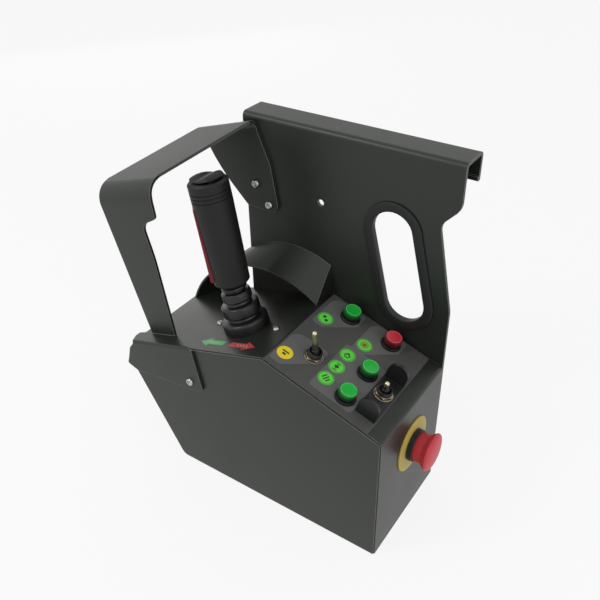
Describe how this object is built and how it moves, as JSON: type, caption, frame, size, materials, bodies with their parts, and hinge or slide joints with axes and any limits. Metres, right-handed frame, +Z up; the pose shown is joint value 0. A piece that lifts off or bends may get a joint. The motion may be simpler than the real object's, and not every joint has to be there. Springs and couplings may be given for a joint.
{
  "type": "scissor lift control box",
  "caption": "Folded steel control box with a guarded joystick, sloping switch panel, side emergency stop and a back plate that hooks over a guard rail.",
  "frame": {"origin": "centre of the flat bottom the box stands on", "axes": "+Z up; the operator stands at -Y and looks along +Y; +X to the operator's right, the side with the emergency stop"},
  "size_m": [0.3739, 0.1718, 0.382],
  "materials": {
    "coat": "satin charcoal powder coat",
    "steel": "bright",
    "nickel": "nickel plated",
    "rubber": "satin black",
    "black_plastic": "fine matt",
    "label_dark": "printed film",
    "label_pale": "printed film",
    "print_yellow": "printed film",
    "print_green": "printed film",
    "print_red": "printed film",
    "red_plastic": "glossy",
    "green_plastic": "glossy, translucent cap",
    "yellow_plastic": "satin",
    "board": "lacquered",
    "terminal_green": "fine matt"
  },
  "bodies": {
    "box": {"front_plate": "coat", "wrap_shell": "coat", "bottom_pan": "coat", "pan_screws": "steel", "back_plate": "coat", "arch_hood": "coat", "guard_strap": "coat", "guard_screws": "steel", "guard_nuts": "steel", "handle_trim": "rubber", "switch_label": "label_dark", "label_fields": "label_pale", "legend_yellow": "print_yellow", "legends_green": "print_green", "legend_red": "print_green", "arrow_left": "print_green", "arrow_right": "print_red", "joystick_flange": "black_plastic", "joystick_screws": "steel", "joystick_boot": "rubber", "centring_springs": "steel", "angle_sensor": "black_plastic", "button_bezels": "black_plastic", "button_bodies": "black_plastic", "button_nuts": "black_plastic", "toggle_bushings": "black_plastic", "toggle_washers": "nickel", "toggle_nuts": "nickel", "toggle_bodies": "black_plastic", "toggle_pins": "steel", "toggle_guard": "black_plastic", "estop_disc": "yellow_plastic", "estop_collar": "black_plastic", "estop_nut": "black_plastic", "estop_contact_block": "black_plastic", "board_standoffs": "steel", "board_screws": "steel", "control_board": "board", "relay": "black_plastic", "terminal_block": "terminal_green", "cable_gland": "black_plastic", "gland_nut": "black_plastic"},
    "joystick": {"joystick_shaft": "steel", "joystick_pivot_pin": "steel", "joystick_grip": "black_plastic", "grip_cap": "black_plastic", "rocker_pin": "steel", "trigger_pin": "steel"},
    "trigger": {"enable_trigger": "red_plastic"},
    "rocker": {"thumb_rocker": "rubber"},
    "green_button_rear": {"button_green_rear": "green_plastic"},
    "red_button": {"button_red": "red_plastic"},
    "green_button_mid": {"button_green_mid": "green_plastic"},
    "green_button_front": {"button_green_front": "green_plastic"},
    "toggle_one": {"toggle_one_lever": "nickel"},
    "toggle_two": {"toggle_two_lever": "nickel"},
    "estop_plunger_body": {"estop_plunger": "steel"},
    "estop_head_body": {"estop_head": "red_plastic"}
  },
  "joints": [
    {"name": "joystick_tilt", "type": "hinge", "parent": "box", "child": "joystick", "pos_m": [-0.05733, -0.01205, 0.16989], "axis": [0, 1, 0], "range_deg": [-20, 20], "stiffness_Nm_per_rad": 2.5, "deforming": ["joystick_boot"]},
    {"name": "enable_trigger_press", "type": "hinge", "parent": "joystick", "child": "trigger", "pos_m": [-0.10225, -0.02237, 0.31078], "axis": [0.6943, -0.7071, 0.1337], "range_deg": [0, 1.6], "stiffness_Nm_per_rad": 1},
    {"name": "thumb_rocker_tilt", "type": "hinge", "parent": "joystick", "child": "rocker", "pos_m": [-0.09725, -0.01205, 0.33944], "axis": [0, 1, 0], "range_deg": [-5, 5], "stiffness_Nm_per_rad": 0.2},
    {"name": "press_green_rear", "type": "slide", "parent": "box", "child": "green_button_rear", "axis": [-0.3123, 0, -0.95], "range_m": [0, 0.003], "stiffness_N_per_m": 900},
    {"name": "press_red", "type": "slide", "parent": "box", "child": "red_button", "axis": [-0.3123, 0, -0.95], "range_m": [0, 0.003], "stiffness_N_per_m": 900},
    {"name": "press_green_mid", "type": "slide", "parent": "box", "child": "green_button_mid", "axis": [-0.3123, 0, -0.95], "range_m": [0, 0.003], "stiffness_N_per_m": 900},
    {"name": "press_green_front", "type": "slide", "parent": "box", "child": "green_button_front", "axis": [-0.3123, 0, -0.95], "range_m": [0, 0.003], "stiffness_N_per_m": 900},
    {"name": "toggle_one_throw", "type": "hinge", "parent": "box", "child": "toggle_one", "pos_m": [0.0317, -0.02476, 0.19667], "axis": [0, 1, 0], "range_deg": [0, 38]},
    {"name": "toggle_two_throw", "type": "hinge", "parent": "box", "child": "toggle_two", "pos_m": [0.10314, -0.01315, 0.17318], "axis": [0, 1, 0], "range_deg": [0, 20]},
    {"name": "estop_press", "type": "slide", "parent": "box", "child": "estop_plunger_body", "axis": [-1, 0, 0], "range_m": [0, 0.004]},
    {"name": "estop_twist", "type": "hinge", "parent": "estop_plunger_body", "child": "estop_head_body", "pos_m": [0.128, 0.00515, 0.1012], "axis": [1, 0, 0], "range_deg": [0, 45]}
  ]
}
